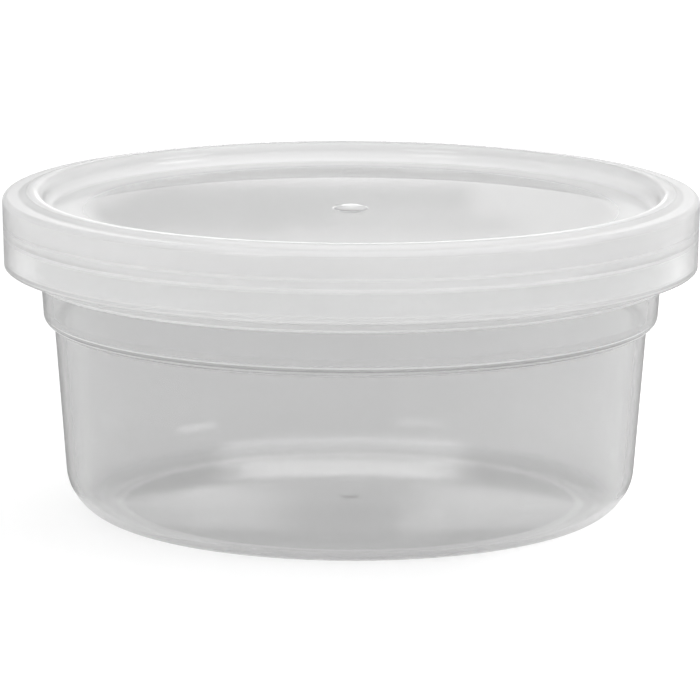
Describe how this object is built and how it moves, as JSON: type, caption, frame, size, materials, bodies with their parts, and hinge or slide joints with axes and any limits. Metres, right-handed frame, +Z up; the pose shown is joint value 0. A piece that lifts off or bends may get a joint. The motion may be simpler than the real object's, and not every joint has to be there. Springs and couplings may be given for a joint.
{
  "type": "paint cup with lid",
  "caption": "Shallow round translucent plastic paint cup with a stacking shoulder and a recessed snap-fit lid that lifts off.",
  "frame": {"origin": "centre of the base, on the surface the cup stands on", "axes": "+Z up along the cup's axis, from the base to the lid; the form is round, so X and Y are free"},
  "size_m": [0.1, 0.1, 0.0465],
  "materials": {
    "cup_plastic": "smooth moulded natural polypropylene, clear enough to see the contents",
    "lid_plastic": "smooth moulded natural polypropylene, a little milkier than the cup"
  },
  "bodies": {
    "cup": {"cup": "cup_plastic"},
    "lid": {"lid": "lid_plastic"}
  },
  "joints": [
    {"name": "lid_lift", "type": "slide", "parent": "cup", "child": "lid", "axis": [0, 0, 1], "range_m": [0, 0.06]}
  ]
}
